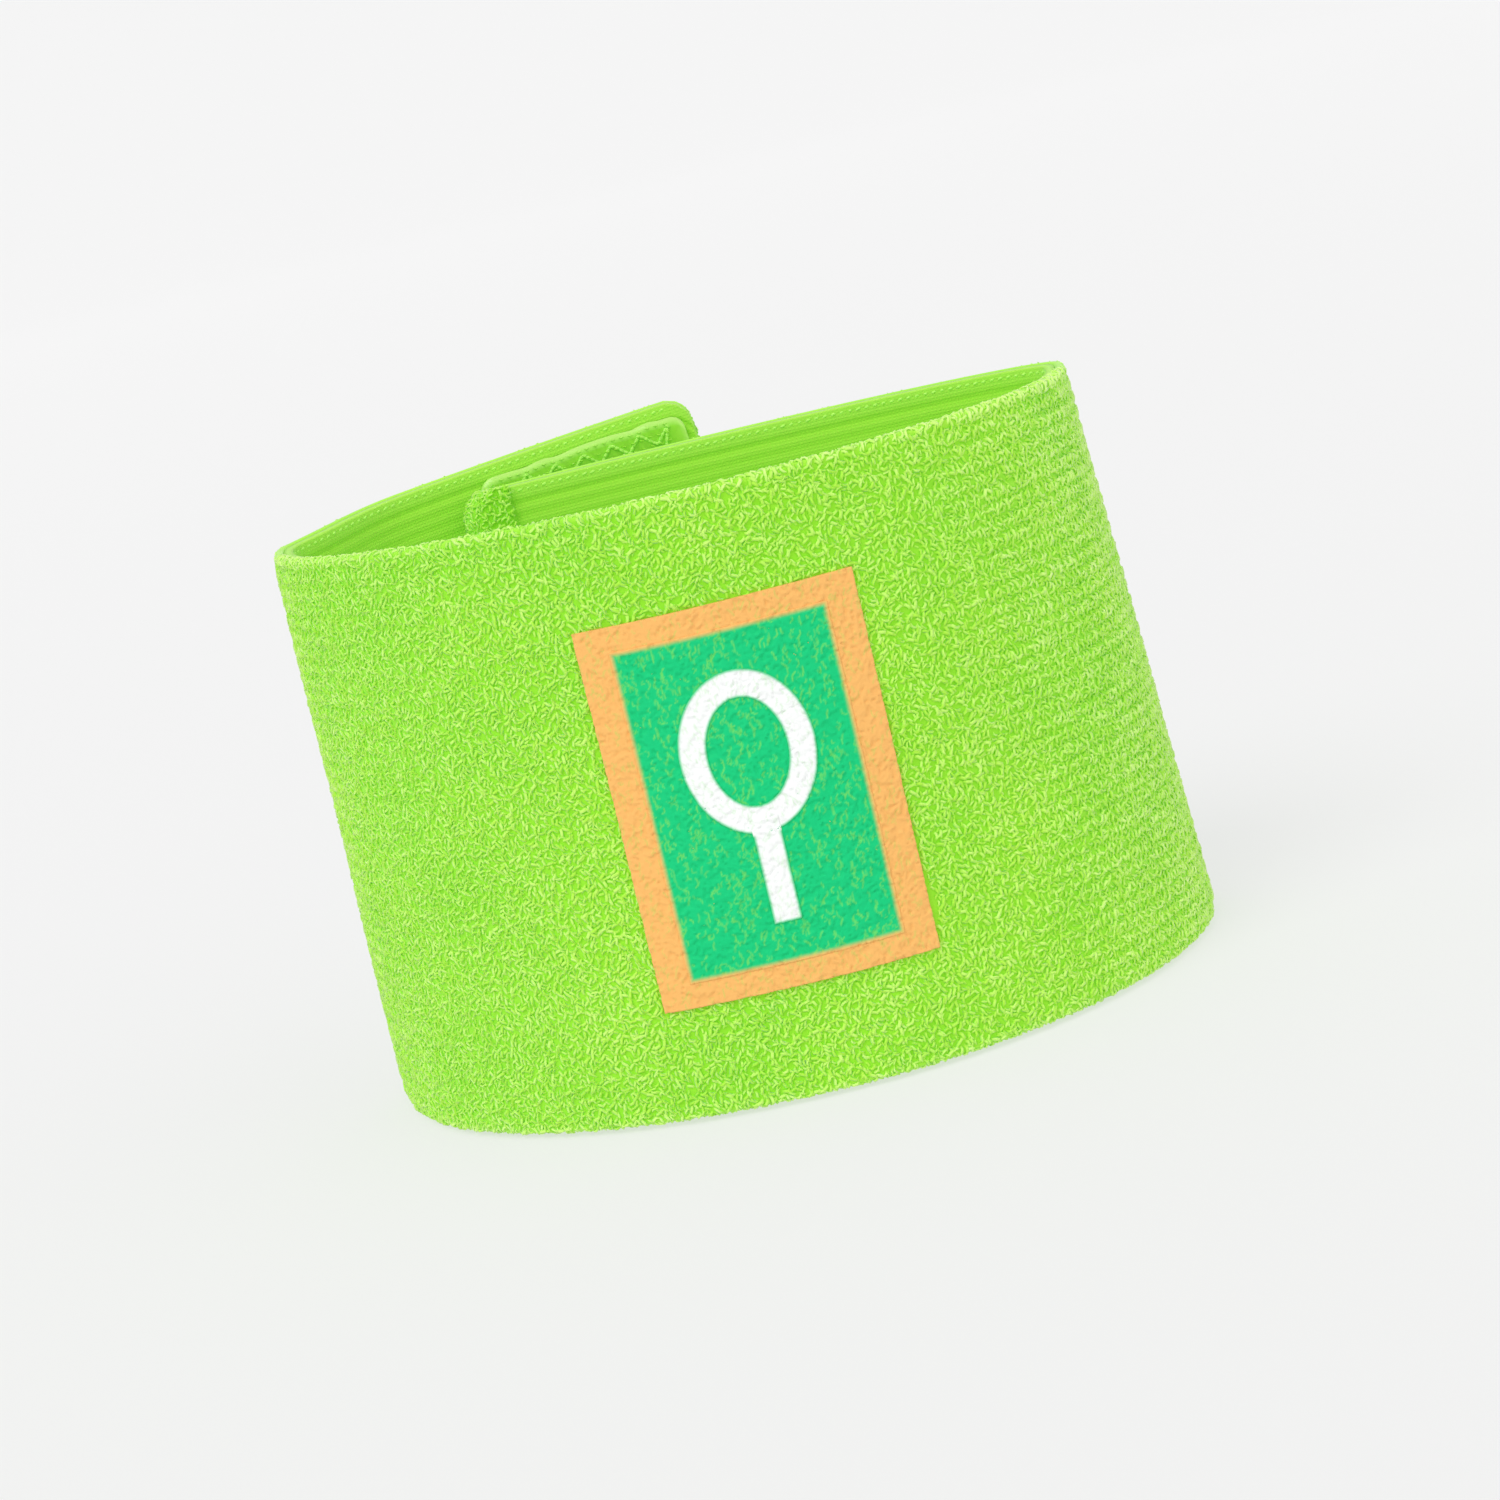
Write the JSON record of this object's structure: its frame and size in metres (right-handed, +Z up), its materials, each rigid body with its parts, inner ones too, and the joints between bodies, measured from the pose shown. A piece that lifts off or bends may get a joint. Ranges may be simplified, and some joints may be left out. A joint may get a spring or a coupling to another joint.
{
  "type": "sweat wristband",
  "caption": "Adjustable terry sweat wristband with a hook-and-loop lap closure at the back and a small printed badge on the front.",
  "frame": {"origin": "under the middle of the whole band, on the plane its foot rests on", "axes": "+X across the wrist to the right of the badge, +Y from the badge to the closure, +Z up through the wrist opening"},
  "size_m": [0.0744, 0.0424, 0.0535],
  "materials": {
    "lime_terry": "looped terry pile, matt",
    "lime_lining": "ribbed knitted elastic, matt",
    "lime_thread": "polyester sewing thread",
    "hook_tape": "translucent nylon hook tape",
    "badge_base": "orange transfer film, satin",
    "badge_field": "green transfer film, satin",
    "badge_mark": "white transfer film, satin"
  },
  "bodies": {
    "front": {"front_pile": "lime_terry", "front_lining": "lime_lining", "front_rim_stitch": "lime_thread", "front_foot_stitch": "lime_thread", "badge_base": "badge_base", "badge_field": "badge_field", "badge_mark": "badge_mark"},
    "left_strap": {"left_pile": "lime_terry", "left_lining": "lime_lining", "left_rim_stitch": "lime_thread", "left_foot_stitch": "lime_thread"},
    "tab": {"tab_pile": "lime_terry", "tab_lining": "lime_lining", "hook_tape": "hook_tape", "hook_tape_stitch": "lime_thread", "tab_rim_stitch": "lime_thread", "tab_foot_stitch": "lime_thread"},
    "right_strap": {"right_pile": "lime_terry", "right_lining": "lime_lining", "right_rim_stitch": "lime_thread", "right_foot_stitch": "lime_thread", "end_wrap": "lime_terry", "end_wrap_stitch": "lime_thread"}
  },
  "joints": [
    {"name": "left_fold", "type": "hinge", "parent": "front", "child": "left_strap", "pos_m": [-0.03659, 0.00795, 0.025], "axis": [0.024, 0, 0.9997], "range_deg": [0, 120]},
    {"name": "tab_peel", "type": "hinge", "parent": "left_strap", "child": "tab", "pos_m": [-0.01713, 0.01999, 0.02707], "axis": [-0.1093, -0.0167, 0.9939], "range_deg": [0, 120]},
    {"name": "right_fold", "type": "hinge", "parent": "front", "child": "right_strap", "pos_m": [0.03571, 0.00795, 0.025], "axis": [-0.0599, 0, 0.9982], "range_deg": [-24, 0]}
  ],
  "couplings": [
    {"joint": "right_fold", "follows": "left_fold", "ratio": -0.2}
  ]
}
